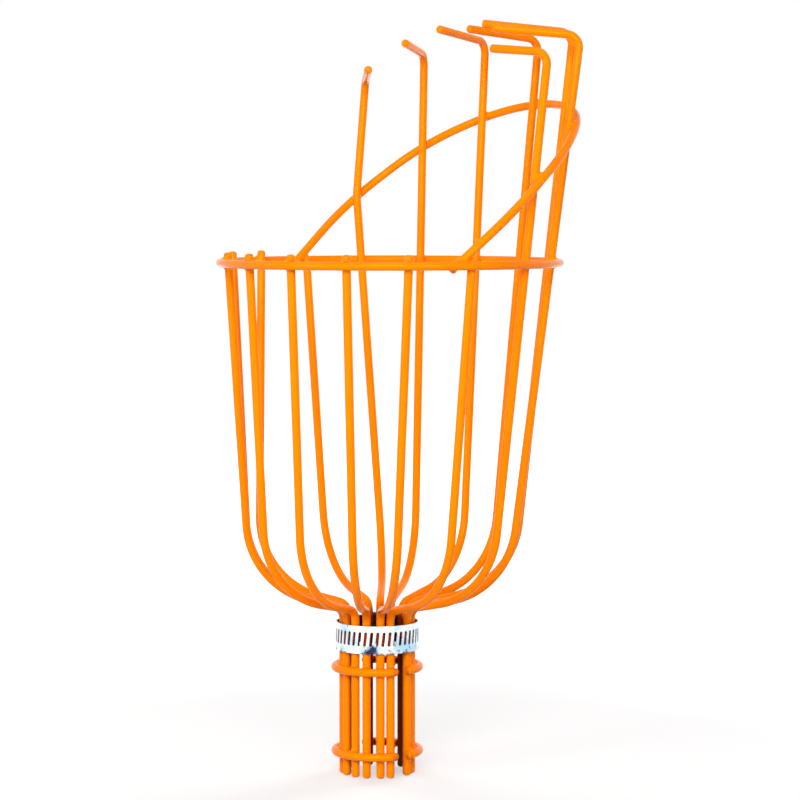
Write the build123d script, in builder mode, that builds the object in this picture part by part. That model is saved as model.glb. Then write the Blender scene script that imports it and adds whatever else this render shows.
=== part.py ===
# Fruit picker head: a wire basket with picking fingers and a split pole socket under a worm-drive clamp.
# Millimetres. +Z runs up the socket's axis, the origin is the middle of the socket's open bottom,
# and the tall side, where the fingers stand, faces +Y. Bearings are degrees about Z, from +X.

import os
from math import asin, cos, degrees, radians, sin, tan

from build123d import *

# Wire stock and welds
WIRE = 3.8  # diameter of every wire, coating included
WELD_SINK = 0.25  # how far two crossing wires are pressed into each other at a weld
END_ROUND = 1.2  # rounding of a coated wire end

# Pole socket: the lower ends of all the wires, as two half shells of bars with a slit on either side
SOCKET_RADIUS = 15.7  # axis of the socket to the middle of a bar
SOCKET_HALVES = {"finger_half": (26.5, 161.4), "basket_half": (205.0, 349.9)}  # first and last bar's bearings
LOWER_COLLAR_HEIGHT = 10.2
COLLAR_DROP_HEIGHT = 8.4  # of the upper collars below the clamp's band
COLLAR_LEAD = 14.0  # degrees that a collar starts before the first bar of its half
COLLAR_TRAIL = 5.5  # degrees that it runs on past the last bar

# Basket: floor, wall and rim
NECK_HEIGHT = 76.5  # corner between a socket bar and the basket's floor
NECK_BEND = 6.0
FLOOR_SLOPE = 12.0  # degrees that the floor rises on its way out
FLOOR_BEND = 38.0
FOOT_HEIGHT = 128.0  # level at which the wall's foot circle is measured
FOOT_RADIUS = 64.2
FOOT_OFFSET = 4.0  # the foot circle's middle, forward of the socket's axis
RIM_HEIGHT = 234.0
RIM_RADIUS = 73.7  # circle through the middles of the wall wires at the rim
RIM_OFFSET = 7.0

# Guard hoop, a wire bent over the fingers' outside, in degrees from its crown
HOOP_TURN = -1.6  # of its crown, from the middle between the two outer basket wires
HOOP_SPAN = 25.5  # between two of its bends
HOOP_BENDS = 7
HOOP_ENDS = (-98.4, 99.8)  # where its ends tuck in behind the rim
HOOP_END_DEPTH = 2.5  # of those ends, below the rim
HOOP_MEAN_HEIGHT = -0.5
HOOP_SWING_HEIGHT = 80.9
HOOP_FULLNESS_HEIGHT = 7.8
HOOP_TWIST_HEIGHT = 1.9  # one shoulder of the hoop stands higher than the other
BEND_SHARE = 0.48  # share of a run that a smooth bend takes up at each of its ends

# Finger wires: turn off the even pitch in the socket, bearing at the wall's foot, bearing at the rim,
# height above the rim, length of the hook, turn of the hook off the basket's middle
FINGERS = (
    (0.0, 20.5, 21.3, 92.8, 30.0, 0.0),
    (0.0, 39.0, 47.0, 102.6, 40.0, 0.0),
    (0.0, 65.0, 66.5, 105.0, 43.0, 0.0),
    (0.0, 90.0, 91.5, 103.8, 42.0, 0.0),
    (-1.6, 110.0, 113.3, 104.0, 44.5, 0.0),
    (1.5, 133.5, 135.7, 98.5, 40.0, -4.0),
    (0.5, 150.5, 158.0, 86.0, 40.0, -7.4),
)
HOOK_RISE = 5.0  # degrees that a hook points above level
HOOK_BEND = 6.0
# The last finger is bent where it meets the hoop.
KNEE_HEIGHT = 31.0
KNEE_BEND = 30.0
KNEE_TOP_BEARING = 157.0

# Basket wires: turn off the even pitch in the socket, bearing at the wall's foot, bearing at the rim,
# height above the rim
BASKET_WIRES = (
    (0.0, 175.5, 180.0, 2.2),
    (0.0, 212.5, 202.5, 4.8),
    (0.0, 234.5, 226.0, 4.8),
    (0.6, 243.5, 245.0, 4.8),
    (-1.1, 269.0, 270.0, 4.8),
    (0.7, 291.5, 291.5, 4.8),
    (1.1, 314.5, 312.5, 4.8),
    (3.6, 333.0, 333.5, 4.8),
    (0.0, 355.5, 356.0, 3.0),
)

# Worm-drive clamp
BAND_WIDTH = 12.7
BAND_THICKNESS = 0.7
BAND_DROP_HEIGHT = 6.4  # of the band's upper edge below the neck
BAND_CLEARANCE = 0.8  # between the band and the socket's bars
LAYER_GAP = 0.1  # between the band's tail and what lies under it
SLOT_LENGTH = 6.6
SLOT_WIDTH = 1.4
SLOT_PITCH = 8.4  # degrees
SLOT_LEAN = 6.5  # degrees off the band's width
SLOT_RISE = 0.4  # the slots' middle above the band's own middle
HOUSING_BEARING = 146.0
HOUSING_LENGTH = 12.5  # along the screw
HOUSING_WALL = 0.8
SIDE_CLEARANCE = 0.2  # between the band's edges and the housing's skirts
SADDLE_THICKNESS = 0.6
RAMP_ANGLE = 14.0  # over which the band climbs on to its own end
LEAD_ANGLE = 5.0  # of plain band between the housing and the ramp
TAIL_ANGLE = 52.0  # of the band's free end, past the housing's middle
PLAIN_ANGLE = 12.0  # of band without slots, at its ramp and past its free end
TAIL_PLAIN_ANGLE = 7.0  # of the free end itself without slots
SCREW_RADIUS = 3.2  # of the worm, over its thread
SCREW_CLEARANCE = 0.3
NECK_RADIUS = 2.2
HEAD_FLATS = 7.9
HEAD_HEIGHT = 5.0
HEAD_CHAMFER = 0.6
FLANGE_RADIUS = 4.4
FLANGE_THICKNESS = 1.0
DRIVER_SLOT = 1.2
DRIVER_DEPTH = 2.0

CORNER_TRIES = 40  # steps that settle where a floor meets its wall
BARS_IN_HALF = (len(FINGERS) + len(BASKET_WIRES)) // len(SOCKET_HALVES)
CROSSING = WIRE - WELD_SINK  # between the middles of two welded wires
RIM_RING_RADIUS = RIM_RADIUS + CROSSING
COLLAR_RADIUS = SOCKET_RADIUS + CROSSING
BAND_BOTTOM = NECK_HEIGHT - BAND_DROP_HEIGHT - BAND_WIDTH
UPPER_COLLAR_HEIGHT = BAND_BOTTOM - COLLAR_DROP_HEIGHT
HOOP_CROWN = HOOP_TURN + (BASKET_WIRES[0][2] + BASKET_WIRES[-1][2]) / 2 - 180  # bearing of its top


def polar(radius, bearing, height, offset=0.0):
    """A point at a bearing round an axis that stands forward of the socket's by the offset."""
    angle = radians(bearing)
    return Vector(radius * cos(angle), offset + radius * sin(angle), height)


def wall_point(bearing, height, outside=0.0):
    """A point on the basket's leaning wall, or outside it."""
    share = (height - FOOT_HEIGHT) / (RIM_HEIGHT - FOOT_HEIGHT)
    radius = FOOT_RADIUS + share * (RIM_RADIUS - FOOT_RADIUS)
    offset = FOOT_OFFSET + share * (RIM_OFFSET - FOOT_OFFSET)
    return polar(radius + outside, bearing, height, offset)


def along(start, through, height):
    """The point of the line from start through another point, at a height."""
    return start + (through - start) * ((height - start.Z) / (through.Z - start.Z))


def socket_bearing(index):
    """The bearing of a bar in an evenly pitched socket, counted from the first bar of the finger half."""
    half, place = divmod(index, BARS_IN_HALF)
    first, last = list(SOCKET_HALVES.values())[half]
    return first + place * (last - first) / (BARS_IN_HALF - 1)


def floor_corner(neck, foot, rim):
    """Where the sloping floor from the neck meets the line of the wall through foot and rim."""
    rise = tan(radians(FLOOR_SLOPE))
    height = foot.Z
    for _ in range(CORNER_TRIES):
        corner = along(foot, rim, height)
        height = neck.Z + rise * Vector(corner.X - neck.X, corner.Y - neck.Y).length
    return along(foot, rim, height)


def smooth_bends(points):
    """The bend radius at each inner point that nearly uses up the shorter of its two runs."""
    radii = []
    for before, here, after in zip(points, points[1:], points[2:]):
        turn = (here - before).get_angle(after - here)
        shorter = min((here - before).length, (after - here).length)
        radii.append(BEND_SHARE * shorter / tan(radians(turn / 2)))
    return radii


def bent_wire(points, bends):
    """A round wire along straight runs and bends, with rounded ends."""
    with BuildPart() as wire:
        with BuildLine():
            route = FilletPolyline(*points, radius=bends)
        with BuildSketch(Plane(route @ 0, z_dir=route % 0)):
            Circle(WIRE / 2)
        sweep()
        ends = wire.faces().filter_by(GeomType.PLANE)
        fillet(ends.edges(), END_ROUND)
    return wire.part


def lower_route(index, socket_turn, foot_bearing, rim_bearing):
    """Socket end, neck and floor corner of a wire, with its points at the wall's foot and rim."""
    bearing = socket_bearing(index) + socket_turn
    bottom = polar(SOCKET_RADIUS, bearing, 0)
    neck = polar(SOCKET_RADIUS, bearing, NECK_HEIGHT)
    foot = wall_point(foot_bearing, FOOT_HEIGHT)
    rim = wall_point(rim_bearing, RIM_HEIGHT)
    return [bottom, neck, floor_corner(neck, foot, rim)], foot, rim


def hook_tip(top, length, turn):
    """The tip of a finger's hook, which points a little upwards, at the basket's middle or off to one side."""
    middle = wall_point(0, top.Z) - Vector(wall_point(0, top.Z).X, 0, 0)
    inward = (middle - top).normalized().rotate(Axis.Z, turn)
    level = length * cos(radians(HOOK_RISE))
    return top + inward * level + Vector(0, 0, length * sin(radians(HOOK_RISE)))


def finger_wire(index, socket_turn, foot_bearing, rim_bearing, height, hook, hook_turn, bent):
    """A wire that goes on above the rim as a picking finger."""
    points, foot, rim = lower_route(index, socket_turn, foot_bearing, rim_bearing)
    bends = [NECK_BEND, FLOOR_BEND]
    top = along(foot, rim, RIM_HEIGHT + height)
    if bent:
        points.append(along(foot, rim, RIM_HEIGHT + KNEE_HEIGHT))
        bends.append(KNEE_BEND)
        top = wall_point(KNEE_TOP_BEARING, RIM_HEIGHT + height)
    return bent_wire(points + [top, hook_tip(top, hook, hook_turn)], bends + [HOOK_BEND])


def basket_wire(index, socket_turn, foot_bearing, rim_bearing, height):
    """A wire that stops just above the rim."""
    points, foot, rim = lower_route(index, socket_turn, foot_bearing, rim_bearing)
    return bent_wire(points + [along(foot, rim, RIM_HEIGHT + height)], [NECK_BEND, FLOOR_BEND])


def hoop_route():
    """The hoop's bend points, which stand outside its smooth line, between its two tucked-in ends."""
    stand_off = 1 / cos(radians(HOOP_SPAN / 2))
    bends = []
    for step in range(HOOP_BENDS):
        swing = HOOP_SPAN * (step - (HOOP_BENDS - 1) / 2)
        height = HOOP_MEAN_HEIGHT - HOOP_FULLNESS_HEIGHT * cos(radians(2 * swing))
        height += HOOP_TWIST_HEIGHT * sin(radians(2 * swing))
        height += HOOP_SWING_HEIGHT * cos(radians(swing)) * stand_off
        middle = polar(0, 0, RIM_HEIGHT + height, RIM_OFFSET)
        on_line = wall_point(HOOP_CROWN + swing, RIM_HEIGHT + height, CROSSING)
        bends.append(middle + (on_line - middle) * stand_off)
    ends = [wall_point(HOOP_CROWN + end, RIM_HEIGHT - HOOP_END_DEPTH) for end in HOOP_ENDS]
    return [ends[0], *bends, ends[1]]


def save(part, name):
    """Labels a finished piece and writes its file."""
    part.label = name
    export_step(part, f"parts/{name}.step")


os.makedirs("parts", exist_ok=True)

# The sixteen wires, from one side of the front slit round to the other
for number, row in enumerate(FINGERS):
    is_last = number == len(FINGERS) - 1
    save(finger_wire(number, *row, bent=is_last), f"finger_wire_{number + 1}")

for number, row in enumerate(BASKET_WIRES):
    save(basket_wire(len(FINGERS) + number, *row), f"basket_wire_{number + 1}")

# Guard hoop
hoop_points = hoop_route()
save(bent_wire(hoop_points, smooth_bends(hoop_points)), "guard_hoop")

# Rim ring, round the outside of the wall
with BuildPart() as rim_ring:
    with BuildSketch(Plane.XZ.offset(-RIM_OFFSET)):
        with Locations((RIM_RING_RADIUS, RIM_HEIGHT)):
            Circle(WIRE / 2)
    revolve(axis=Axis((0, RIM_OFFSET, 0), (0, 0, 1)))
save(rim_ring.part, "rim_ring")

# Collars: two rings of wire round the socket, each in two halves that leave the slits open
COLLARS = {"lower_collar": LOWER_COLLAR_HEIGHT, "upper_collar": UPPER_COLLAR_HEIGHT}
for collar_name, collar_height in COLLARS.items():
    for half_name, (first_bar, last_bar) in SOCKET_HALVES.items():
        collar_start = first_bar - COLLAR_LEAD
        collar_angle = last_bar + COLLAR_TRAIL - collar_start
        with BuildPart() as collar:
            with BuildLine(Plane.XY.offset(collar_height)):
                collar_line = CenterArc((0, 0), COLLAR_RADIUS, collar_start, collar_angle)
            with BuildSketch(Plane(collar_line @ 0, z_dir=collar_line % 0)):
                Circle(WIRE / 2)
            sweep()
            fillet(collar.faces().filter_by(GeomType.PLANE).edges(), END_ROUND)
        save(collar.part, f"{collar_name}_{half_name}")

# Clamp band: once round the socket, then up a ramp and on through the housing as a free tail
BAND_INSIDE = SOCKET_RADIUS + WIRE / 2 + BAND_CLEARANCE
BAND_OUTSIDE = BAND_INSIDE + BAND_THICKNESS
SADDLE_OUTSIDE = BAND_OUTSIDE + SADDLE_THICKNESS
TAIL_INSIDE = SADDLE_OUTSIDE + LAYER_GAP
TAIL_OUTSIDE = TAIL_INSIDE + BAND_THICKNESS
BAND_MIDDLE = BAND_BOTTOM + BAND_WIDTH / 2
SADDLE_HALF_ANGLE = degrees(asin(HOUSING_LENGTH / 2 / SADDLE_OUTSIDE))
BAND_START = HOUSING_BEARING - SADDLE_HALF_ANGLE - LEAD_ANGLE
TAIL_START = BAND_START + 360 - LEAD_ANGLE / 2
RAMP_START = TAIL_START - RAMP_ANGLE
TAIL_END = HOUSING_BEARING + 360 + TAIL_ANGLE


def layer(inside, outside, start, end):
    """The end-on outline of a curved strip between two bearings."""
    with BuildSketch() as outline:
        with BuildLine():
            inner = CenterArc((0, 0), inside, start, end - start)
            outer = CenterArc((0, 0), outside, start, end - start)
            Line(inner @ 0, outer @ 0)
            Line(inner @ 1, outer @ 1)
        make_face()
    return outline.sketch


def slot_planes(outside, start, end):
    """Planes on the band's outside, one for each slot between two bearings, with X up the band."""
    count = int((end - start) / SLOT_PITCH)
    planes = []
    for step in range(count + 1):
        bearing = start + step * SLOT_PITCH
        middle = polar(outside + BAND_THICKNESS / 2, bearing, BAND_MIDDLE + SLOT_RISE)
        planes.append(Plane(middle, x_dir=(0, 0, 1), z_dir=polar(1, bearing, 0)))
    return planes


with BuildPart() as clamp_band:
    with BuildSketch(Plane.XY.offset(BAND_BOTTOM)):
        add(layer(BAND_INSIDE, BAND_OUTSIDE, BAND_START, RAMP_START))
        add(layer(TAIL_INSIDE, TAIL_OUTSIDE, TAIL_START, TAIL_END))
        with BuildLine():
            Polyline(
                polar(BAND_INSIDE, RAMP_START, 0),
                polar(BAND_OUTSIDE, RAMP_START, 0),
                polar(TAIL_OUTSIDE, TAIL_START, 0),
                polar(TAIL_INSIDE, TAIL_START, 0),
                close=True,
            )
        make_face()
    extrude(amount=BAND_WIDTH)
    round_slots = slot_planes(BAND_OUTSIDE, TAIL_END - 360 + PLAIN_ANGLE, RAMP_START - PLAIN_ANGLE)
    tail_slots = slot_planes(TAIL_OUTSIDE, TAIL_START + TAIL_PLAIN_ANGLE, TAIL_END - TAIL_PLAIN_ANGLE)
    with BuildSketch(*round_slots, *tail_slots):
        SlotOverall(SLOT_LENGTH, SLOT_WIDTH, rotation=-SLOT_LEAN)
    extrude(amount=-2 * BAND_THICKNESS, mode=Mode.SUBTRACT)
save(clamp_band.part, "clamp_band")

# Clamp saddle, a curved plate between the band and its own tail
SKIRT_INSIDE = BAND_WIDTH / 2 + SIDE_CLEARANCE
with BuildPart() as clamp_saddle:
    with BuildSketch(Plane.XY.offset(BAND_MIDDLE)):
        saddle_start = HOUSING_BEARING - SADDLE_HALF_ANGLE
        saddle_end = HOUSING_BEARING + SADDLE_HALF_ANGLE
        add(layer(BAND_OUTSIDE, SADDLE_OUTSIDE, saddle_start, saddle_end))
    extrude(amount=SKIRT_INSIDE, both=True)
save(clamp_saddle.part, "clamp_saddle")

# Clamp housing: a domed cover over the worm, with skirts that straddle the band.
# Its plane has X outwards, across the screw, and Z along the screw towards the head.
SCREW_AXIS_RADIUS = TAIL_OUTSIDE + SCREW_CLEARANCE + SCREW_RADIUS
SHOULDER = TAIL_OUTSIDE + LAYER_GAP - SCREW_AXIS_RADIUS
SKIRT_END = BAND_INSIDE - SCREW_AXIS_RADIUS
CAVITY_RADIUS = SCREW_RADIUS + SCREW_CLEARANCE
DOME_RADIUS = CAVITY_RADIUS + HOUSING_WALL
SCREW_PLANE = Plane(
    polar(SCREW_AXIS_RADIUS, HOUSING_BEARING, BAND_MIDDLE),
    x_dir=polar(1, HOUSING_BEARING, 0),
    z_dir=polar(1, HOUSING_BEARING + 90, 0),
)
CAVITY_LENGTH = HOUSING_LENGTH - 2 * HOUSING_WALL
LEVEL = (Align.MIN, Align.CENTER)

with BuildPart() as clamp_housing:
    with BuildSketch(SCREW_PLANE):
        Circle(DOME_RADIUS)
        with Locations((SHOULDER, 0)):
            Rectangle(-SHOULDER, 2 * DOME_RADIUS, align=LEVEL)
            Rectangle(HOUSING_WALL, 2 * (SKIRT_INSIDE + HOUSING_WALL), align=LEVEL)
        with Locations((SKIRT_END, 0)):
            Rectangle(SHOULDER - SKIRT_END, 2 * (SKIRT_INSIDE + HOUSING_WALL), align=LEVEL)
            Rectangle(SHOULDER - SKIRT_END, 2 * SKIRT_INSIDE, align=LEVEL, mode=Mode.SUBTRACT)
        with Locations((-DOME_RADIUS, 0)):
            Rectangle(SHOULDER + DOME_RADIUS, 2 * SKIRT_INSIDE, align=LEVEL, mode=Mode.SUBTRACT)
    extrude(amount=HOUSING_LENGTH / 2, both=True)
    with BuildSketch(SCREW_PLANE):
        Circle(CAVITY_RADIUS)
        with Locations((-DOME_RADIUS, 0)):
            Rectangle(DOME_RADIUS, 2 * CAVITY_RADIUS, align=LEVEL)
    extrude(amount=CAVITY_LENGTH / 2, both=True, mode=Mode.SUBTRACT)
    with BuildSketch(SCREW_PLANE):
        Circle(NECK_RADIUS + SCREW_CLEARANCE)
    extrude(amount=HOUSING_LENGTH, mode=Mode.SUBTRACT)
save(clamp_housing.part, "clamp_housing")

# Clamp screw: worm, neck, flange and slotted hexagonal head
WORM_LENGTH = CAVITY_LENGTH - 2 * SCREW_CLEARANCE
FLANGE_START = HOUSING_LENGTH / 2 + SCREW_CLEARANCE
HEAD_START = FLANGE_START + FLANGE_THICKNESS
HEAD_END = HEAD_START + HEAD_HEIGHT

with BuildPart() as clamp_screw:
    with BuildSketch(SCREW_PLANE):
        Circle(SCREW_RADIUS)
    extrude(amount=WORM_LENGTH / 2, both=True)
    with BuildSketch(SCREW_PLANE):
        Circle(NECK_RADIUS)
    extrude(amount=HEAD_START)
    with BuildSketch(SCREW_PLANE.offset(FLANGE_START)):
        Circle(FLANGE_RADIUS)
    extrude(amount=FLANGE_THICKNESS)
    with BuildSketch(SCREW_PLANE.offset(HEAD_START)):
        RegularPolygon(HEAD_FLATS / 2, 6, major_radius=False)
    extrude(amount=HEAD_HEIGHT)
    head_face = clamp_screw.faces().sort_by(Axis(SCREW_PLANE.origin, SCREW_PLANE.z_dir))[-1]
    chamfer(head_face.edges(), HEAD_CHAMFER)
    with BuildSketch(SCREW_PLANE.offset(HEAD_END)):
        Rectangle(2 * HEAD_FLATS, DRIVER_SLOT)
    extrude(amount=-DRIVER_DEPTH, mode=Mode.SUBTRACT)
save(clamp_screw.part, "clamp_screw")
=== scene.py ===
# %% [markdown]
# A fruit picker head
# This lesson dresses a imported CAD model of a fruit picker: a basket of bent, welded and
# powder-coated wires with hooked fingers on one side, on a socket of bars that a worm-drive band
# clamp draws on to a pole. The CAD model is the frame. It holds every size, and nothing in it is
# moved here. Each cell makes one piece or one finish.

# %% Load the frame
from math import cos, radians, sin, tan

import bpy
import numpy as np
from mathutils import Matrix, Vector


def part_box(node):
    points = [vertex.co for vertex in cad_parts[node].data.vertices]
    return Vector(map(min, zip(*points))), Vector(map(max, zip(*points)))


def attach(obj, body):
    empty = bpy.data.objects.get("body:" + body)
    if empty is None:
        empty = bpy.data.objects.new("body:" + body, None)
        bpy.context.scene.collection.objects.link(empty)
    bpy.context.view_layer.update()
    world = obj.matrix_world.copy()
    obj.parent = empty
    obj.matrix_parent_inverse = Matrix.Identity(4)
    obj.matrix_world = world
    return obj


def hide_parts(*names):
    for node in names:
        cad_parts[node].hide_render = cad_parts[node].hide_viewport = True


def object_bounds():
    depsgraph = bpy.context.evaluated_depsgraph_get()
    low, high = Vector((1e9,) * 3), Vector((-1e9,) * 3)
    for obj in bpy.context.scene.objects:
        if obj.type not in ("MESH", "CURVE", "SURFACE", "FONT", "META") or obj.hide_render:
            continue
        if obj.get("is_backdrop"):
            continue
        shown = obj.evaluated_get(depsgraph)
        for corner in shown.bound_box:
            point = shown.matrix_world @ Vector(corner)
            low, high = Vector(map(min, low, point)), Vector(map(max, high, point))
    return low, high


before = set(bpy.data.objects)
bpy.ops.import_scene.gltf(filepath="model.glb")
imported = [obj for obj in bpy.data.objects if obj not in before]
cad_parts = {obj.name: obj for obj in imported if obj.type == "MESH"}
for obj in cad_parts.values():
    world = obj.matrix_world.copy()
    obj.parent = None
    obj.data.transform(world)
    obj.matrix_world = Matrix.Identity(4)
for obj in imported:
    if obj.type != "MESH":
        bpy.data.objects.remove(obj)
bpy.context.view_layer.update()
MM = 0.001  # metres

# %% [markdown]
# Colours and nodes
# A colour is picked from a photograph as an sRGB hex value, but a shader works in linear light, so
# one function turns one into the other. Every material and every Geometry Nodes tree is built from
# the same small step: add a node, set its properties and inputs, and link what feeds it.

# %% Two small tools
def linear(hex_colour):
    """The linear RGBA value of an sRGB hex colour, by the sRGB standard's own curve."""
    shares = [int(hex_colour[i:i + 2], 16) / 255 for i in (1, 3, 5)]
    return [s / 12.92 if s <= 0.04045 else ((s + 0.055) / 1.055) ** 2.4 for s in shares] + [1.0]


def add_node(tree, kind, inputs=None, **settings):
    """Adds a node to a tree. An input is a plain value, or another node's output to link."""
    node = tree.nodes.new(kind)
    for name, value in settings.items():
        setattr(node, name, value)
    for key, value in (inputs or {}).items():
        if isinstance(value, bpy.types.NodeSocket):
            tree.links.new(value, node.inputs[key])
        else:
            node.inputs[key].default_value = value
    return node


print("linear orange", [round(c, 3) for c in linear("#FF7F00")])

# %% [markdown]
# What the finishes share
# Both finishes of this object start as a Principled shader with patterns in Object coordinates, so
# a pattern keeps its size in millimetres on every piece. Both also take a painted shade on the
# faces that look towards the pole, where the socket and the band are in shade. A mask could be
# painted there, but a rule needs no UV map and holds on every wire: those faces are found by their
# normal, against the spoke, the level line away from the pole's axis.

# %% Start and end of a finish
INWARD_START, INWARD_FULL = -0.2, -0.55  # a normal's part along the spoke, at a share of 0 and 1


def start_finish(name):
    """A new material, its tree, and the place of a point in Object coordinates."""
    material = bpy.data.materials.new(name)
    material.use_nodes = True
    tree = material.node_tree
    return material, tree, add_node(tree, "ShaderNodeTexCoord").outputs["Object"]


def spoke_to(tree, place):
    """The level line from the pole's axis to a place."""
    flat = add_node(tree, "ShaderNodeVectorMath", {0: place, 1: (1, 1, 0)}, operation="MULTIPLY")
    return flat.outputs["Vector"]


def looks_inward(tree, spoke):
    """A share from 0 to 1 of how far a face looks towards the pole's axis."""
    outward = add_node(tree, "ShaderNodeVectorMath", {0: spoke}, operation="NORMALIZE")
    facing = add_node(
        tree,
        "ShaderNodeVectorMath",
        {
            0: add_node(tree, "ShaderNodeTexCoord").outputs["Normal"],
            1: outward.outputs["Vector"],
        },
        operation="DOT_PRODUCT",
    )
    share = add_node(
        tree,
        "ShaderNodeMapRange",
        {
            "Value": facing.outputs["Value"],
            "From Min": INWARD_START,
            "From Max": INWARD_FULL,
        },
    )
    return share.outputs["Result"]


def link_finish(tree, colour, roughness, normal):
    """Links a finish's patterns to its shader, and returns the shader for its plain values."""
    shader = tree.nodes["Principled BSDF"]
    for name, pattern in (("Base Color", colour), ("Roughness", roughness), ("Normal", normal)):
        tree.links.new(pattern, shader.inputs[name])
    return shader


print("a face looks inwards from", INWARD_START, "to", INWARD_FULL)

# %% [markdown]
# Orange powder coat
# The wires are mild steel, sprayed with dry polyester powder and baked. The melt flows into a
# thick, semi-gloss skin that is rounded over every end and pooled in every weld. Under a soft light
# it shows faint orange peel, a ripple of about a millimetre, and a slow drift of tone where the
# spray was heavier. Both are noise. The faces that look into the pole socket, where shade falls
# between the bars, take a painted shade, dark brown. Under the clamp's band, which shades the bars,
# the coat takes a painted shade too, a darker belt that shows through the band's slots.

# %% Colours and sizes of the coat
COAT_LIGHT = "#FF8C00"
COAT_DEEP = "#FB7A00"
# painted shade on the faces that look into the socket, where shade falls between the bars
COAT_SOCKET_SHADE = "#6E2200"
# painted shade under the clamp's band, where the band shades the bars
COAT_BAND_SHADE = "#A83600"
COAT_SHINE = "#FFC850"  # tint of the highlights
COAT_ROUGHNESS = 0.14, 0.22  # in the deep tone and in the light one
COAT_IOR, COAT_SPECULAR = 1.5, 0.2
DRIFT_SIZE, DRIFT_DETAIL = 34 * MM, 3.0  # a patch of heavier or lighter spray
PEEL_SIZE, PEEL_DETAIL = 1.1 * MM, 2.0  # a ripple of orange peel, a little coarse so that it shows
PEEL_STRENGTH, PEEL_DEPTH = 0.1, 0.1 * MM
# how high and how far out from the axis the painted shade reaches
SOCKET_SHADE_TOP, SOCKET_SHADE_FADE = 70 * MM, 8 * MM  # top of the cage round the pole, and the fade above it
SHADE_RADIUS, SHADE_EDGE = 17.6 * MM, 1.4 * MM  # the same across, out to the collars' middle
BAND_SHADE_EDGE = 1.0 * MM  # over which the painted shade under the band fades out
band_low, band_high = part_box("clamp_band")
BAND_MIDDLE, BAND_HALF = (band_low.z + band_high.z) / 2, (band_high.z - band_low.z) / 2
print("band's middle in mm", round(BAND_MIDDLE / MM, 2), "half width", round(BAND_HALF / MM, 2))


# %% Where the coat takes a painted shade, in the socket and under the band
def coat_shares(tree, place):
    """Two shares from 0 to 1: painted shade in the socket, and painted shade under the band."""
    spoke = spoke_to(tree, place)
    radius = add_node(tree, "ShaderNodeVectorMath", {0: spoke}, operation="LENGTH")
    height = add_node(tree, "ShaderNodeSeparateXYZ", {"Vector": place}).outputs["Z"]
    off_band = add_node(tree, "ShaderNodeMath", {0: height, 1: BAND_MIDDLE}, operation="SUBTRACT")
    off_band = add_node(
        tree, "ShaderNodeMath", {0: off_band.outputs["Value"]}, operation="ABSOLUTE"
    )
    below, within, under_band = [
        add_node(
            tree, "ShaderNodeMapRange", {"Value": value, "From Min": none, "From Max": full}
        ).outputs["Result"]
        for value, none, full in (
            (height, SOCKET_SHADE_TOP + SOCKET_SHADE_FADE, SOCKET_SHADE_TOP),
            (radius.outputs["Value"], SHADE_RADIUS + SHADE_EDGE, SHADE_RADIUS),
            (off_band.outputs["Value"], BAND_HALF, BAND_HALF - BAND_SHADE_EDGE),
        )
    ]
    # painted shade inside the socket: faces that look towards the pole, below its top, out to the
    # collars
    caged = add_node(tree, "ShaderNodeMath", {0: below, 1: within}, operation="MULTIPLY")
    socket_shade = add_node(
        tree,
        "ShaderNodeMath",
        {0: looks_inward(tree, spoke), 1: caged.outputs["Value"]},
        operation="MULTIPLY",
    )
    # painted shade under the band, on the bars out to the collars
    band_shade = add_node(tree, "ShaderNodeMath", {0: under_band, 1: within}, operation="MULTIPLY")
    return socket_shade.outputs["Value"], band_shade.outputs["Value"]


# height up to which the socket's inward faces take painted shade
print("coat is thin up to", round(SOCKET_SHADE_TOP / MM), "mm")


# %% Powder coat
def powder_coat():
    material, tree, place = start_finish("polyester_powder_coat_orange")
    drift = add_node(
        tree,
        "ShaderNodeTexNoise",
        {"Vector": place, "Scale": 1 / DRIFT_SIZE, "Detail": DRIFT_DETAIL},
    ).outputs["Fac"]
    socket_shade, band_shade = coat_shares(tree, place)
    colour = linear(COAT_DEEP)
    # over the drifting tone go the painted shade under the band and the painted shade in the socket
    for share, next_colour in ((drift, COAT_LIGHT), (band_shade, COAT_BAND_SHADE), (socket_shade, COAT_SOCKET_SHADE)):
        colour = add_node(
            tree,
            "ShaderNodeMix",
            {"Factor": share, "A": colour, "B": linear(next_colour)},
            data_type="RGBA",
        ).outputs["Result"]
    gloss = add_node(
        tree,
        "ShaderNodeMapRange",
        {"Value": drift, "To Min": COAT_ROUGHNESS[0], "To Max": COAT_ROUGHNESS[1]},
    )
    peel = add_node(
        tree,
        "ShaderNodeTexNoise",
        {"Vector": place, "Scale": 1 / PEEL_SIZE, "Detail": PEEL_DETAIL},
    )
    bump = add_node(
        tree,
        "ShaderNodeBump",
        {"Height": peel.outputs["Fac"], "Strength": PEEL_STRENGTH, "Distance": PEEL_DEPTH},
    )
    shader = link_finish(tree, colour, gloss.outputs["Result"], bump.outputs["Normal"])
    shader.inputs["IOR"].default_value = COAT_IOR
    shader.inputs["Specular IOR Level"].default_value = COAT_SPECULAR
    shader.inputs["Specular Tint"].default_value = linear(COAT_SHINE)
    return material


COAT = powder_coat()
print("made", COAT.name)

# %% [markdown]
# Zinc-plated strip
# The clamp is cold-rolled spring strip, zinc plated and passivated. Plating keeps the fine lines of
# the rolls, which run round the band, and the passivation leaves a pale sheen with bluish clouds.
# Dark blotches sit along the lower edge, where the bath ran off last: a noise that is lifted
# towards that edge and cut at a threshold. The rolls' lines are noise that is drawn out across Z,
# because the band lies round the Z axis. The strip's inner face takes a painted shade, dark, for
# the shaded socket that it faces.

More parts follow.
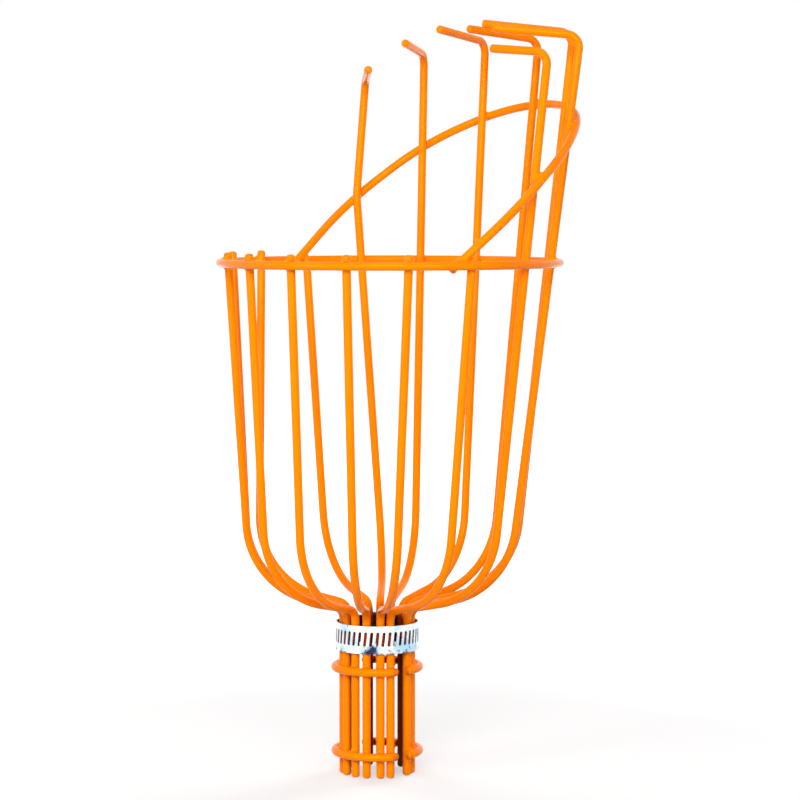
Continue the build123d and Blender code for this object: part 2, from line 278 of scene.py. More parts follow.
# %% Sizes of the plating
CLOUD_SIZE, CLOUD_DETAIL = 7 * MM, 4.0  # a cloud in the passivation
CLOUD_EDGES = 0.42, 0.66  # values of the noise between which a cloud sets in
STAIN_SIZE, STAIN_DETAIL, STAIN_GRAIN = 7 * MM, 6.0, 0.65  # a dark blotch, ragged at its edge
STAIN_EDGES = 0.64, 0.72
STAIN_LIFT = 0.2  # added to the blotches' noise at the lower edge
STAIN_SEED = 5.0
ROLL_LINE = 0.5 * MM  # spacing of the rolls' lines, drawn coarser than the real ones
ROLL_SQUEEZE = 0.04, 0.04, 1.0  # draws the noise out round the band
ROLL_STRENGTH, ROLL_DEPTH = 0.12, 0.02 * MM
ROLL_DULLNESS = 0.14  # roughness that a line adds
print("clouds and lines in mm", round(CLOUD_SIZE / MM, 1), round(ROLL_LINE / MM, 1))


# %% Where the plating is clouded and where it is stained
def plate_shares(tree, place):
    """Two shares from 0 to 1: how blue the plating is, how dark its blotches are."""
    clouds = add_node(
        tree,
        "ShaderNodeTexNoise",
        {"Vector": place, "Scale": 1 / CLOUD_SIZE, "Detail": CLOUD_DETAIL},
    )
    spots = add_node(
        tree,
        "ShaderNodeTexNoise",
        {
            "Vector": place,
            "W": STAIN_SEED,
            "Scale": 1 / STAIN_SIZE,
            "Detail": STAIN_DETAIL,
            "Roughness": STAIN_GRAIN,
        },
        noise_dimensions="4D",
    )
    lift = add_node(
        tree,
        "ShaderNodeMapRange",
        {
            "Value": add_node(tree, "ShaderNodeSeparateXYZ", {"Vector": place}).outputs["Z"],
            "From Min": BAND_MIDDLE,
            "From Max": band_low.z,
            "To Min": 0.0,
            "To Max": STAIN_LIFT,
        },
    )
    spots = add_node(
        tree,
        "ShaderNodeMath",
        {0: spots.outputs["Fac"], 1: lift.outputs["Result"]},
        operation="ADD",
    )
    return [
        add_node(
            tree, "ShaderNodeMapRange", {"Value": value, "From Min": edges[0], "From Max": edges[1]}
        ).outputs["Result"]
        for value, edges in (
            (clouds.outputs["Fac"], CLOUD_EDGES),
            (spots.outputs["Value"], STAIN_EDGES),
        )
    ]


print("blotches below", round(BAND_MIDDLE / MM, 2), "mm")


# %% Plated steel
def zinc_plate(name, pale, blue, stain, inner, rough):
    material, tree, place = start_finish(name)
    clouded, stained = plate_shares(tree, place)
    inside = looks_inward(tree, spoke_to(tree, place))
    colour = linear(pale)
    # on faces that look towards the pole the inner colour is a painted shade
    for share, next_colour in ((clouded, blue), (stained, stain), (inside, inner)):
        colour = add_node(
            tree,
            "ShaderNodeMix",
            {"Factor": share, "A": colour, "B": linear(next_colour)},
            data_type="RGBA",
        ).outputs["Result"]
    squeeze = add_node(tree, "ShaderNodeMapping", {"Vector": place, "Scale": ROLL_SQUEEZE})
    rolls = add_node(
        tree,
        "ShaderNodeTexNoise",
        {"Vector": squeeze.outputs["Vector"], "Scale": 1 / ROLL_LINE},
    ).outputs["Fac"]
    gloss = add_node(
        tree,
        "ShaderNodeMapRange",
        {"Value": rolls, "To Min": rough, "To Max": rough + ROLL_DULLNESS},
    )
    bump = add_node(
        tree,
        "ShaderNodeBump",
        {"Height": rolls, "Strength": ROLL_STRENGTH, "Distance": ROLL_DEPTH},
    )
    shader = link_finish(tree, colour, gloss.outputs["Result"], bump.outputs["Normal"])
    shader.inputs["Metallic"].default_value = 1.0
    return material


# each inner colour is a painted shade for the faces that look towards the pole
STRIP = zinc_plate(
    "zinc_plated_spring_steel_strip",
    pale="#F4F5F3", blue="#B4DAF1", stain="#2E3B55", inner="#33465A", rough=0.2,
)
PRESSING = zinc_plate(
    "zinc_plated_pressed_steel",
    pale="#C8CDCF", blue="#A8BBC8", stain="#4A5666", inner="#4A5666", rough=0.28,
)
SCREW_STEEL = zinc_plate(
    "zinc_plated_turned_steel",
    pale="#D2D4D2", blue="#B8C2C8", stain="#5B646C", inner="#D2D4D2", rough=0.26,
)
print("made", STRIP.name, PRESSING.name, SCREW_STEEL.name)

# %% [markdown]
# How a wire is bent
# Each wire is a length of round stock, bent cold round a former, so its line is straight runs
# joined by true arcs. A skinned or subdivided polyline would only come near that. A Geometry Nodes
# tree follows the real process: it takes the corners with a bend radius on each, fillets the line,
# and sweeps a round section along it. A second value on the points, the girth, draws the section in
# at a cut end, where the coat rounds the edge off.

# %% The bent wire tree
BEND_STEPS = 22
WIRE_SIDES = 20


def bent_wire_tree():
    tree = bpy.data.node_groups.new("bent_coated_wire", "GeometryNodeTree")
    for name, way, kind in (
        ("Route", "INPUT", "Geometry"),
        ("Wire Radius", "INPUT", "Float"),
        ("Bend Steps", "INPUT", "Int"),
        ("Sides", "INPUT", "Int"),
        ("Finish", "INPUT", "Material"),
        ("Wire", "OUTPUT", "Geometry"),
    ):
        tree.interface.new_socket(name, in_out=way, socket_type="NodeSocket" + kind)
    given = add_node(tree, "NodeGroupInput").outputs
    bend, girth = [
        add_node(tree, "GeometryNodeInputNamedAttribute", {"Name": name}).outputs["Attribute"]
        for name in ("bend", "girth")
    ]
    line = add_node(tree, "GeometryNodeMeshToCurve", {"Mesh": given["Route"]})
    bent = add_node(
        tree,
        "GeometryNodeFilletCurve",
        {"Curve": line.outputs["Curve"], "Count": given["Bend Steps"], "Radius": bend},
        mode="POLY",
    )
    section = add_node(
        tree,
        "GeometryNodeCurvePrimitiveCircle",
        {"Resolution": given["Sides"], "Radius": given["Wire Radius"]},
    )
    swept = add_node(
        tree,
        "GeometryNodeCurveToMesh",
        {
            "Curve": bent.outputs["Curve"],
            "Profile Curve": section.outputs["Curve"],
            "Scale": girth,
            "Fill Caps": True,
        },
    )
    smooth = add_node(tree, "GeometryNodeSetShadeSmooth", {"Geometry": swept.outputs["Mesh"]})
    real = add_node(
        tree, "GeometryNodeRealizeInstances", {"Geometry": smooth.outputs["Geometry"]}
    )
    dressed = add_node(
        tree,
        "GeometryNodeSetMaterial",
        {"Geometry": real.outputs["Geometry"], "Material": given["Finish"]},
    )
    add_node(tree, "NodeGroupOutput", {"Wire": dressed.outputs["Geometry"]})
    return tree


BENT_WIRE = bent_wire_tree()
print("tree", BENT_WIRE.name, "with", len(BENT_WIRE.nodes), "nodes")

# %% [markdown]
# From corners to a wire
# The route is a chain of points in millimetres. A cut end gets a few more points, closer and closer
# to the cut, whose girth follows a quarter circle. The wire's radius comes from the frame: the rim
# ring is as thick as the wire. The modifier's inputs are set by their identifiers, and its result
# becomes a plain mesh.

# %% Plain meshes
def evaluate(thing, tree, values):
    """Runs a Geometry Nodes tree on an object, and keeps the result as its own plain mesh."""
    nodes = thing.modifiers.new(tree.name, "NODES")
    nodes.node_group = tree
    for item in tree.interface.items_tree:
        if item.name in values:
            nodes[item.identifier] = values[item.name]
    bpy.context.view_layer.update()
    graph = bpy.context.evaluated_depsgraph_get()
    result = bpy.data.meshes.new_from_object(thing.evaluated_get(graph))
    thing.modifiers.remove(nodes)
    thing.data = result
    result.name = thing.name


def new_piece(name, vertices, edges=(), faces=()):
    """A mesh object at the origin, from points in millimetres."""
    mesh = bpy.data.meshes.new(name)
    mesh.from_pydata([Vector(v) * MM for v in vertices], edges, faces)
    piece = bpy.data.objects.new(name, mesh)
    bpy.context.scene.collection.objects.link(piece)
    return piece


print("inputs", [item.name for item in BENT_WIRE.interface.items_tree])

# %% Wire maker
rim_low, rim_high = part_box("rim_ring")
WIRE_RADIUS = (rim_high.z - rim_low.z) / 2 / MM
END_ROUND = 1.2  # of the coat over a cut end
END_STEPS = 5
lines = {}  # each wire's middle line, by node


def cut_end(end, inner):
    """Points and girths that round off a cut end, towards the next point of the route."""
    inward = (inner - end).normalized()
    rows = []
    for step in range(END_STEPS + 1):
        angle = radians(90 * step / END_STEPS)
        girth = (WIRE_RADIUS - END_ROUND + END_ROUND * sin(angle)) / WIRE_RADIUS
        rows.append((end + inward * END_ROUND * (1 - cos(angle)), 0.0, girth))
    return rows


def make_wire(node, points, bends, closed=False):
    """A coated wire along a route, in place of a CAD node. Its middle line is kept for welds."""
    rows = [(point, bend, 1.0) for point, bend in zip(points, [0.0, *bends, 0.0])]
    if not closed:
        rows = cut_end(points[0], points[1]) + rows[1:-1] + cut_end(points[-1], points[-2])[::-1]
    count = len(rows)
    edges = [(i, i + 1) for i in range(count - 1)] + ([(count - 1, 0)] if closed else [])
    wire = new_piece(node + "_coated", [row[0] for row in rows], edges)
    for name, column, unit in (("bend", 1, MM), ("girth", 2, 1.0)):
        values = wire.data.attributes.new(name, "FLOAT", "POINT")
        values.data.foreach_set("value", [row[column] * unit for row in rows])
    sizes = {
        "Wire Radius": WIRE_RADIUS * MM,
        "Bend Steps": BEND_STEPS,
        "Sides": WIRE_SIDES,
        "Finish": COAT,
    }
    evaluate(wire, BENT_WIRE, sizes)
    corners = np.empty(3 * len(wire.data.vertices))
    wire.data.vertices.foreach_get("co", corners)
    lines[node] = corners.reshape(-1, WIRE_SIDES, 3).mean(1) / MM
    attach(wire, "basket")
    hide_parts(node)


print("wire diameter in mm", round(2 * WIRE_RADIUS, 2))

# %% [markdown]
# The basket's shape
# All the wires share one shape: up a bar of the pole socket, out along a sloping floor, and up a
# wall that widens towards the rim. The rim's height, radius and place come from the frame. Only
# what can't be read from a box is written again: the slopes, the bends and each wire's own bearing,
# counted in degrees round the pole.

# %% Basket sizes
COAT_SINK = 0.25  # two crossing wires are pressed this far into each other by the weld
CROSSING = 2 * WIRE_RADIUS - COAT_SINK
RIM_HEIGHT = (rim_high.z + rim_low.z) / 2 / MM
RIM_OFFSET = (rim_high.y + rim_low.y) / 2 / MM
RIM_RING_RADIUS = (rim_high.x - rim_low.x) / 2 / MM - WIRE_RADIUS
RIM_RADIUS = RIM_RING_RADIUS - CROSSING
collar_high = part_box("lower_collar_finger_half")[1]
COLLAR_RADIUS = collar_high.y / MM - WIRE_RADIUS
SOCKET_RADIUS = COLLAR_RADIUS - CROSSING
FOOT_HEIGHT, FOOT_RADIUS, FOOT_OFFSET = 128.0, 64.2, 4.0  # of the wall
NECK_HEIGHT, NECK_BEND = 76.5, 6.0
FLOOR_SLOPE, FLOOR_BEND = 12.0, 38.0  # degrees, and mm
FLOOR_ROUNDS = 40  # of the search for the floor's corner
SOCKET_HALVES = {"finger_half": (26.5, 161.4), "basket_half": (205.0, 349.9)}  # outer bars
BARS_IN_HALF = 8
print("rim", round(RIM_HEIGHT, 1), round(RIM_RADIUS, 2), "socket", round(SOCKET_RADIUS, 2))


# %% Points of a wire
def polar(radius, bearing, height, offset=0.0):
    angle = radians(bearing)
    return Vector((radius * cos(angle), offset + radius * sin(angle), height))


def wall_point(bearing, height, outside=0.0):
    share = (height - FOOT_HEIGHT) / (RIM_HEIGHT - FOOT_HEIGHT)
    radius = FOOT_RADIUS + share * (RIM_RADIUS - FOOT_RADIUS)
    offset = FOOT_OFFSET + share * (RIM_OFFSET - FOOT_OFFSET)
    return polar(radius + outside, bearing, height, offset)


def along(start, through, height):
    """The point of the line from start through another point, at a height."""
    return start + (through - start) * ((height - start.z) / (through.z - start.z))


def lower_route(index, socket_turn, foot_bearing, rim_bearing):
    """Socket end, neck and floor corner of a wire, with its points at the wall's foot and rim."""
    half, place = divmod(index, BARS_IN_HALF)
    first, last = list(SOCKET_HALVES.values())[half]
    bearing = first + place * (last - first) / (BARS_IN_HALF - 1) + socket_turn
    neck = polar(SOCKET_RADIUS, bearing, NECK_HEIGHT)
    foot, rim = wall_point(foot_bearing, FOOT_HEIGHT), wall_point(rim_bearing, RIM_HEIGHT)
    corner = foot
    for _ in range(FLOOR_ROUNDS):
        rise = tan(radians(FLOOR_SLOPE)) * (corner - neck).xy.length
        corner = along(foot, rim, NECK_HEIGHT + rise)
    return [polar(SOCKET_RADIUS, bearing, 0), neck, corner], foot, rim


print("a point of the rim", [round(c, 1) for c in wall_point(0, RIM_HEIGHT)])

# %% [markdown]
# Nine basket wires and seven fingers
# The short wires stop just above the rim. The long ones go on as fingers, and each ends in a hook
# that points at the basket's middle and slightly up, so that a stalk is caught and the fruit drops
# inwards. The last finger was knocked on the real picker: it has a slight knee where the hoop
# crosses it, and its hook looks to one side.

# %% Basket wires
# Turn off the socket's even pitch, bearings at the wall's foot and the rim, height above the rim
BASKET_WIRES = (
    (0.0, 175.5, 180.0, 2.2),
    (0.0, 212.5, 202.5, 4.8),
    (0.0, 234.5, 226.0, 4.8),
    (0.6, 243.5, 245.0, 4.8),
    (-1.1, 269.0, 270.0, 4.8),
    (0.7, 291.5, 291.5, 4.8),
    (1.1, 314.5, 312.5, 4.8),
    (3.6, 333.0, 333.5, 4.8),
    (0.0, 355.5, 356.0, 3.0),
)
FINGER_COUNT = 2 * BARS_IN_HALF - len(BASKET_WIRES)

for number, (*bearings, height) in enumerate(BASKET_WIRES):
    route, foot, rim = lower_route(FINGER_COUNT + number, *bearings)
    route.append(along(foot, rim, RIM_HEIGHT + height))
    make_wire(f"basket_wire_{number + 1}", route, [NECK_BEND, FLOOR_BEND])
print("basket wires", len(lines))

# %% Finger wires
# The same four, then length of the hook, turn of the hook off the basket's middle
FINGERS = (
    (0.0, 20.5, 21.3, 92.8, 30.0, 0.0),
    (0.0, 39.0, 47.0, 102.6, 40.0, 0.0),
    (0.0, 65.0, 66.5, 105.0, 43.0, 0.0),
    (0.0, 90.0, 91.5, 103.8, 42.0, 0.0),
    (-1.6, 110.0, 113.3, 104.0, 44.5, 0.0),
    (1.5, 133.5, 135.7, 98.5, 40.0, -4.0),
    (0.5, 150.5, 158.0, 86.0, 40.0, -7.4),
)
HOOK_RISE, HOOK_BEND = 5.0, 6.0  # degrees, and mm
KNEE_HEIGHT, KNEE_BEND, KNEE_TOP_BEARING = 31.0, 30.0, 157.0


def hook_tip(top, length, turn):
    middle = wall_point(0, top.z)
    inward = (Vector((0, middle.y, top.z)) - top).normalized()
    inward.rotate(Matrix.Rotation(radians(turn), 3, "Z"))
    upward = Vector((0, 0, sin(radians(HOOK_RISE))))
    return top + length * (inward * cos(radians(HOOK_RISE)) + upward)


for number, (*bearings, height, hook, hook_turn) in enumerate(FINGERS):
    route, foot, rim = lower_route(number, *bearings)
    bends = [NECK_BEND, FLOOR_BEND]
    top = along(foot, rim, RIM_HEIGHT + height)
    if number == FINGER_COUNT - 1:
        route.append(along(foot, rim, RIM_HEIGHT + KNEE_HEIGHT))
        bends.append(KNEE_BEND)
        top = wall_point(KNEE_TOP_BEARING, RIM_HEIGHT + height)
    route += [top, hook_tip(top, hook, hook_turn)]
    make_wire(f"finger_wire_{number + 1}", route, bends + [HOOK_BEND])
print("wires so far", len(lines))

# %% [markdown]
# Rim ring, collars and guard hoop
# The rim is a closed hoop outside the wall wires. The socket's bars stand in two half shells, so
# that the clamp can draw them together, and each half has an upper and a lower collar of its own.
# The routes are points on a circle, close enough for the sweep to read as round. The hoop starts
# and ends behind the rim and leans back over the fingers' outside. It lies on the wall's cone, on a
# line whose height swings with the bearing.

# %% Rings
RING_STEP = 3.0  # degrees
COLLAR_LEAD, COLLAR_TRAIL = 14.0, 5.5  # degrees past the outer bars of a half


def circle_route(radius, start, sweep, height, offset=0.0):
    count = round(sweep / RING_STEP)
    bearings = [start + sweep * step / count for step in range(count + 1)]
    return [polar(radius, bearing, height, offset) for bearing in bearings]


ring = circle_route(RIM_RING_RADIUS, 0, 360 - RING_STEP, RIM_HEIGHT, RIM_OFFSET)
make_wire("rim_ring", ring, [0.0] * (len(ring) - 2), closed=True)
for half, (first_bar, last_bar) in SOCKET_HALVES.items():
    for node in ("lower_collar_" + half, "upper_collar_" + half):
        low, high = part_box(node)
        level = (low.z + high.z) / 2 / MM
        sweep = COLLAR_LEAD + last_bar - first_bar + COLLAR_TRAIL
        ring = circle_route(COLLAR_RADIUS, first_bar - COLLAR_LEAD, sweep, level)
        make_wire(node, ring, [0.0] * (len(ring) - 2))
print("rings at", round(RIM_HEIGHT, 1), "mm and", round(level, 1), "mm")

# %% Guard hoop
HOOP_CROWN, HOOP_SPAN, HOOP_BENDS = 86.4, 25.5, 7  # degrees, degrees from bend to bend, count
HOOP_ENDS, HOOP_END_DEPTH = (-98.4, 99.8), 2.5  # degrees from the crown, and mm under the rim
HOOP_MEAN_HEIGHT, HOOP_SWING_HEIGHT = -0.5, 80.9
HOOP_FULLNESS_HEIGHT, HOOP_TWIST_HEIGHT = 7.8, 1.9
BEND_SHARE = 0.48  # of the shorter run beside a bend, which its arc takes up

stand_off = 1 / cos(radians(HOOP_SPAN / 2))
start, end = [wall_point(HOOP_CROWN + turn, RIM_HEIGHT - HOOP_END_DEPTH) for turn in HOOP_ENDS]
hoop = [start]
for step in range(HOOP_BENDS):
    swing = HOOP_SPAN * (step - (HOOP_BENDS - 1) / 2)
    height = HOOP_MEAN_HEIGHT - HOOP_FULLNESS_HEIGHT * cos(radians(2 * swing))
    height += HOOP_TWIST_HEIGHT * sin(radians(2 * swing))
    height += RIM_HEIGHT + HOOP_SWING_HEIGHT * cos(radians(swing)) * stand_off
    middle = Vector((0, RIM_OFFSET, height))
    hoop.append(middle + (wall_point(HOOP_CROWN + swing, height, CROSSING) - middle) * stand_off)
hoop.append(end)

hoop_bends = []
for before, here, after in zip(hoop, hoop[1:], hoop[2:]):
    run_in, run_out = here - before, after - here
    shorter = min(run_in.length, run_out.length)
    hoop_bends.append(BEND_SHARE * shorter / tan(run_in.angle(run_out) / 2))
make_wire("guard_hoop", hoop, hoop_bends)
print("hoop bends in mm", [round(b) for b in hoop_bends])

# %% [markdown]
# Welds under the coat
# Wherever two wires cross they are spot welded, and the coat flows into the corner, so the two
# round surfaces run into each other with a small fillet. A torus or a blob stuck on the joint
# wouldn't have that saddle. A distance field does: near a crossing, the distance to each wire's
# middle line is known everywhere, and a rounded minimum of the two is exactly a fillet. Its zero
# surface is drawn as a mesh, a hair inside the wires away from the joint, so that it comes out of
# them without a step.

# %% Middle lines
LINE_STEP = 0.2


def dense(line, closed=False):
    """A middle line as closely spaced points."""
    ends = np.vstack([line[1:], line[:1]]) if closed else line[1:]
    starts = line if closed else line[:-1]
    rows = []
    for start, end in zip(starts, ends):
        count = max(1, int(np.linalg.norm(end - start) / LINE_STEP))
        rows.append(start + (end - start) * np.arange(count)[:, None] / count)
    return np.vstack(rows)


def inside_ends(track):
    """A track without the last stretch at a cut end, where the coat already rounds the wire."""
    from_start = np.sqrt(((track - track[0]) ** 2).sum(1))
    from_end = np.sqrt(((track - track[-1]) ** 2).sum(1))
    return track[(from_start > WIRE_RADIUS) & (from_end > WIRE_RADIUS)]


tracks = {
    node: inside_ends(dense(line)) for node, line in lines.items() if node != "rim_ring"
}
tracks["rim_ring"] = dense(lines["rim_ring"], closed=True)
print("points on middle lines", sum(len(track) for track in tracks.values()))

# %% Find the crossings
WELD_REACH = 0.6  # wires whose skins are nearer than this are welded
SEARCH_STRIDE = 4  # points of a line from one test to the next
SEARCH_SPAN = 20  # tests to each side that count as the same place


def crossings(first, second):
    """Points midway between two wires where they touch, one for each place."""
    a, b = tracks[first], tracks[second]
    near = [np.sqrt(((b - p) ** 2).sum(1)).min() for p in a[::SEARCH_STRIDE]]
    found = []
    for i, gap in enumerate(near):
        lowest = gap == min(near[max(0, i - SEARCH_SPAN):i + SEARCH_SPAN + 1])
        if lowest and gap < 2 * WIRE_RADIUS + WELD_REACH:
            p = a[SEARCH_STRIDE * i]
            found.append((p + b[((b - p) ** 2).sum(1).argmin()]) / 2)
    return found


wires = [node for node in tracks if "_wire_" in node]
rings = [node for node in tracks if "_collar_" in node or node == "rim_ring"]
weld_pairs = [(ring, wire) for ring in rings for wire in wires]
weld_pairs += [("guard_hoop", wire) for wire in wires] + [("guard_hoop", "rim_ring")]
welds = [(pair, place) for pair in weld_pairs for place in crossings(*pair)]
print("welds", len(welds))

# %% Draw a fillet's surface
CORNERS = np.array([(i, j, k) for i in (0, 1) for j in (0, 1) for k in (0, 1)])
CELL_EDGES = [
    (p, q)
    for p in range(len(CORNERS))
    for q in range(p + 1, len(CORNERS))
    if abs(CORNERS[p] - CORNERS[q]).sum() == 1
]
UNCROSS_ROUNDS = 6
UNCROSS_DEPTH = 0.01


def uncross(field):
    """Fills the cell faces whose signs lie crosswise, so that no edge has four faces."""
    for _ in range(UNCROSS_ROUNDS):
        for axis in range(3):
            sheets = np.moveaxis(field, axis, 2)
            square = sheets[:-1, :-1], sheets[1:, :-1], sheets[1:, 1:], sheets[:-1, 1:]
            signs = [corner < 0 for corner in square]
            crossed = (signs[0] == signs[2]) & (signs[1] == signs[3]) & (signs[0] != signs[1])
            for corner in square:
                corner[crossed & (corner >= 0)] = -UNCROSS_DEPTH
    return field


def zero_surface(field, low, cell):
    """Vertices and quads of a field's zero surface: one vertex in each cell that it crosses."""
    size = np.array(field.shape) - 1
    at = [field[i:i + size[0], j:j + size[1], k:k + size[2]] for i, j, k in CORNERS]
    total, hits = np.zeros((*size, 3)), np.zeros(size)
    for p, q in CELL_EDGES:
        cut = (at[p] < 0) != (at[q] < 0)
        share = np.where(cut, at[p] / np.where(cut, at[p] - at[q], 1), 0)[..., None]
        total += np.where(cut[..., None], CORNERS[p] + share * (CORNERS[q] - CORNERS[p]), 0)
        hits += cut
    live = np.argwhere(hits > 0)
    index = np.full(size, -1)
    index[tuple(live.T)] = np.arange(len(live))
    vertices = low + cell * (live + total[hits > 0] / hits[hits > 0][:, None])
    quads = []
    for axis in range(3):
        across, over = (axis + 1) % 3, (axis + 2) % 3
        u, v = np.eye(3, dtype=int)[[across, over]]
        ahead = np.roll(field, -1, axis)
        for here in np.argwhere((field < 0) != (ahead < 0)):
            if here[across] == 0 or here[over] == 0 or (here >= size).any():
                continue
            quad = [index[tuple(here - s)] for s in (u + v, v, 0 * u, u)]
            quads.append(quad if field[tuple(here)] < 0 else quad[::-1])
    return vertices, quads


print("cell edges", len(CELL_EDGES))

# %% Weld fillets
WELD_BALL = 6.0  # the part of the crossing that is drawn
WELD_MARGIN = 3.0  # further along each wire that the distance is taken to
WELD_CELL = 0.45
WELD_UNDER = 0.05  # how far the drawn surface lies under the wires' own
FILLET_SIZES = (1.5, 2.4)
chance = np.random.default_rng(16)
steps = np.arange(-WELD_BALL - WELD_CELL, WELD_BALL + 2 * WELD_CELL, WELD_CELL)
block = np.stack(np.meshgrid(steps, steps, steps, indexing="ij"), axis=-1)


def weld_field(points, place, pair, fillet):
    """Distance to the filleted joint of two wires, closed off by a ball round the crossing."""
    gaps = []
    for node in pair:
        reach = ((tracks[node] - place) ** 2).sum(1)
        near = tracks[node][reach < (WELD_BALL + WELD_MARGIN) ** 2]
        squared = np.min([((points - p) ** 2).sum(-1) for p in near], axis=0)
        gaps.append(np.sqrt(squared) - WIRE_RADIUS + WELD_UNDER)
    inset = [np.maximum(fillet - gap, 0) for gap in gaps]
    joint = np.maximum(fillet, np.minimum(*gaps)) - np.hypot(*inset)
    return np.maximum(joint, np.sqrt(((points - place) ** 2).sum(-1)) - WELD_BALL)


def weld_piece(name, some_welds):
    """The fillets of some of the welds, as one piece."""
    vertices, quads = [], []
    for pair, place in some_welds:
        fillet = chance.uniform(*FILLET_SIZES)
        field = uncross(weld_field(block + place, place, pair, fillet))
        points, faces = zero_surface(field, place + steps[0], WELD_CELL)
        quads += [[corner + len(vertices) for corner in face] for face in faces]
        vertices += list(points)
    piece = new_piece(name, vertices, faces=quads)
    piece.data.polygons.foreach_set("use_smooth", [True] * len(quads))
    piece.data.materials.append(COAT)
    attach(piece, "basket")
    print(name, len(some_welds), "welds", len(quads), "quads")


for kind in ("collar", "rim", "hoop"):
    weld_piece(kind + "_weld_fillets", [weld for weld in welds if kind in weld[0][0]])

# %% [markdown]
# The clamp's strip and housing
# The band, saddle, housing and screw are already right in CAD, so their nodes stay and only take a
# plated finish: the bright one for the strip, a duller one for the pressed saddle and housing, and
# a turned one for the screw.

# %% Clamp finishes
CLAMP_FINISH = {
    "clamp_band": STRIP,
    "clamp_saddle": PRESSING,
    "clamp_housing": PRESSING,
    "clamp_screw": SCREW_STEEL,
}
for node, finish in CLAMP_FINISH.items():
    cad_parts[node].data.materials.clear()
    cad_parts[node].data.materials.append(finish)
print("clamp nodes dressed", len(CLAMP_FINISH))

# %% [markdown]
# A pale floor
# The picker stands on its socket on a plain white floor that runs into a white background. The
# camera, and the bright band, see most of the floor's white as plain light. Close to the socket a
# part of it is left to the lamps, which gives the shadow, and further out the glow grows to full
# white, so that floor and background meet without a line. The room's walls are white too, and its
# ceiling is darker, so that bright metal shows its shape.

# %% Floor
FLOOR_SIDE, FLOOR_DROP = 30.0, 0.0002  # metres; the drop keeps it clear of the bars' ends
FLOOR_GREY = "#B0B0B0"
NEAR_GLOW, FAR_GLOW = 0.5, 1.0
GLOW_START, GLOW_END = 0.2, 1.0  # metres from the socket


def shows_plainly(tree):
    """1 for a ray from the camera, or by way of gloss or glass, and 0 for one that gives light."""
    seen = add_node(tree, "ShaderNodeLightPath").outputs
    shows = seen["Is Camera Ray"]
    for other in (seen["Is Glossy Ray"], seen["Is Transmission Ray"]):
        shows = add_node(
            tree, "ShaderNodeMath", {0: shows, 1: other}, operation="MAXIMUM"
        ).outputs["Value"]
    return shows


def white_paper():
    material, tree, place = start_finish("matt_white_paper")
    tree.nodes.remove(tree.nodes["Principled BSDF"])
    shade = add_node(tree, "ShaderNodeBsdfDiffuse", {"Color": linear(FLOOR_GREY)})
    level = add_node(
        tree,
        "ShaderNodeMapRange",
        {
            "Value": add_node(
                tree, "ShaderNodeVectorMath", {0: place}, operation="LENGTH"
            ).outputs["Value"],
            "From Min": GLOW_START,
            "From Max": GLOW_END,
            "To Min": NEAR_GLOW,
            "To Max": FAR_GLOW,
        },
    )
    share = add_node(
        tree,
        "ShaderNodeMath",
        {0: shows_plainly(tree), 1: level.outputs["Result"]},
        operation="MULTIPLY",
    )
    glow = add_node(tree, "ShaderNodeEmission", {"Strength": share.outputs["Value"]})
    mixed = add_node(
        tree, "ShaderNodeAddShader", {0: shade.outputs["BSDF"], 1: glow.outputs["Emission"]}
    )
    tree.links.new(mixed.outputs["Shader"], tree.nodes["Material Output"].inputs["Surface"])
    return material


edge = FLOOR_SIDE / 2 / MM
floor_corners = [(-edge, -edge, 0), (edge, -edge, 0), (edge, edge, 0), (-edge, edge, 0)]
floor = new_piece("floor", floor_corners, faces=[(0, 1, 2, 3)])
floor.location.z = -FLOOR_DROP
floor.data.materials.append(white_paper())
floor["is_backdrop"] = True
print("floor", FLOOR_SIDE, "m")

# %% Background
WORLD_LIGHT = 0.05
WALL_TOP, CEILING_START = 0.15, 0.7  # upward share of a direction, between which the room darkens
CEILING_TONE = 0.4

world = bpy.data.worlds.new("studio")
bpy.context.scene.world = world
world.use_nodes = True
tree = world.node_tree
tree.nodes.clear()
way = add_node(tree, "ShaderNodeTexCoord").outputs["Generated"]
room = add_node(
    tree,
    "ShaderNodeMapRange",
    {
        "Value": add_node(tree, "ShaderNodeSeparateXYZ", {"Vector": way}).outputs["Z"],
        "From Min": WALL_TOP,
        "From Max": CEILING_START,
        "To Min": 1.0,
        "To Max": CEILING_TONE,
    },
)
level = add_node(
    tree,
    "ShaderNodeMapRange",
    {
        "Value": shows_plainly(tree),
        "To Min": WORLD_LIGHT,
        "To Max": room.outputs["Result"],
    },
)
sky = add_node(
    tree,
    "ShaderNodeBackground",
    {"Color": linear("#FFFFFF"), "Strength": level.outputs["Result"]},
)
add_node(tree, "ShaderNodeOutputWorld", {"Surface": sky.outputs["Background"]})
print("world", world.name, "with", len(tree.nodes), "nodes")

# %% [markdown]
# Studio light and camera
# Two tall strip boxes stand on the floor left and right of the camera, low enough for an upright
# wire to mirror them as two long highlights. A soft box above the camera gives most of the light,
# in which a wire's sides turn darker, two behind the basket light its back and sides, and a weak
# one hangs overhead. Together they light a wire's middle a little above plain level, where a colour
# renders as it is written. The camera stands where the photograph was taken from, with a long lens.

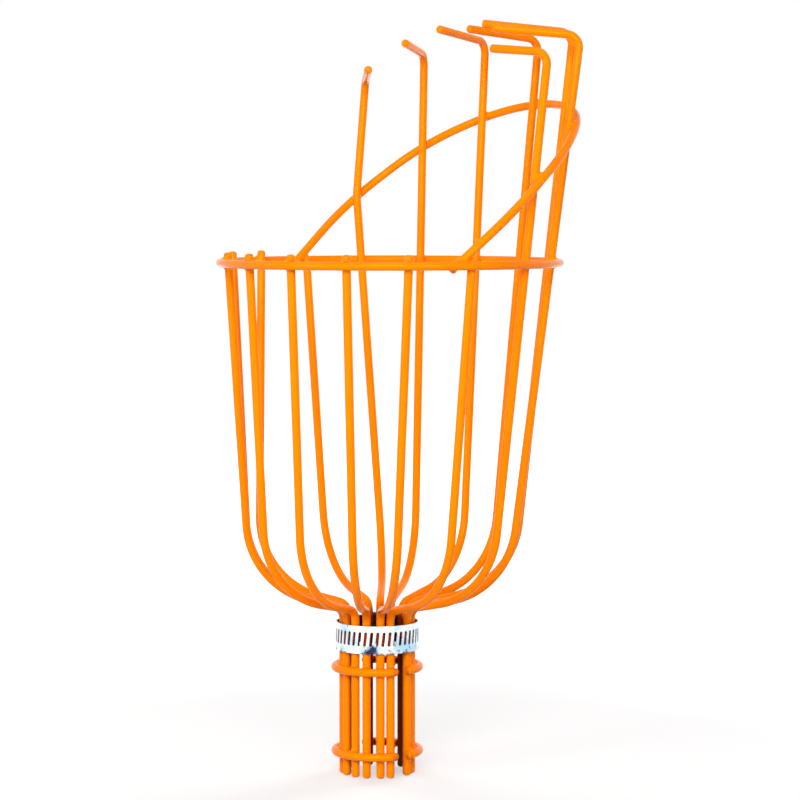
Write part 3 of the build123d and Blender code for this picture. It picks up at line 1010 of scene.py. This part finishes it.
# %% Lights
CAMERA_BEARING = 57.0
BASKET_MIDDLE = Vector((0, 0, 0.18))
# Bearing from the camera and height angle in degrees, distance, width and height in metres, power
# in watts, and whether bright surfaces mirror the lamp
SOFT_BOXES = {
    "left_strip_box": (-54, 10.8, 1.6, 0.3, 0.9, 9, True),
    "right_strip_box": (24, 10.8, 1.6, 0.3, 0.9, 8, True),
    "front_soft_box": (-8, 24, 1.8, 0.9, 0.6, 24, True),
    "back_right_box": (140, 22, 1.8, 0.9, 0.9, 24, False),
    "back_left_box": (-145, 22, 1.8, 0.9, 0.9, 18, False),
    "top_soft_box": (10, 78, 1.3, 0.8, 0.8, 3, True),
}

for name, (turn, rise, distance, width, height, power, glints) in SOFT_BOXES.items():
    angle = radians(CAMERA_BEARING + turn)
    flat = Vector((sin(angle), -cos(angle), 0))
    way = flat * cos(radians(rise)) + Vector((0, 0, sin(radians(rise))))
    data = bpy.data.lights.new(name, "AREA")
    data.shape, data.size, data.size_y, data.energy = "RECTANGLE", width, height, power
    lamp = bpy.data.objects.new(name, data)
    lamp.location = BASKET_MIDDLE + way * distance
    lamp.rotation_euler = way.to_track_quat("Z", "Y").to_euler()
    lamp.visible_glossy = glints
    bpy.context.scene.collection.objects.link(lamp)
print("lamps", len(bpy.data.lights))

# %% Camera
LENS, SENSOR = 123.9, 36.0
CAMERA_PLACE = Vector((1.0563, -0.6735, 0.2606))
CAMERA_PITCH = -4.07

camera_data = bpy.data.cameras.new("camera")
camera_data.lens, camera_data.sensor_width = LENS, SENSOR
camera = bpy.data.objects.new("camera", camera_data)
camera.location = CAMERA_PLACE
camera.rotation_euler = (radians(90 + CAMERA_PITCH), 0, radians(CAMERA_BEARING))
bpy.context.scene.collection.objects.link(camera)
bpy.context.scene.camera = camera
bpy.context.scene.view_settings.view_transform = "Standard"
print("camera at", [round(c, 3) for c in camera.location])

# %% [markdown]
# Size of the dressed model
# The dressed model must keep the CAD model's box. Here its box is measured, over every shown piece
# but the floor.

# %% Size
low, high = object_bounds()
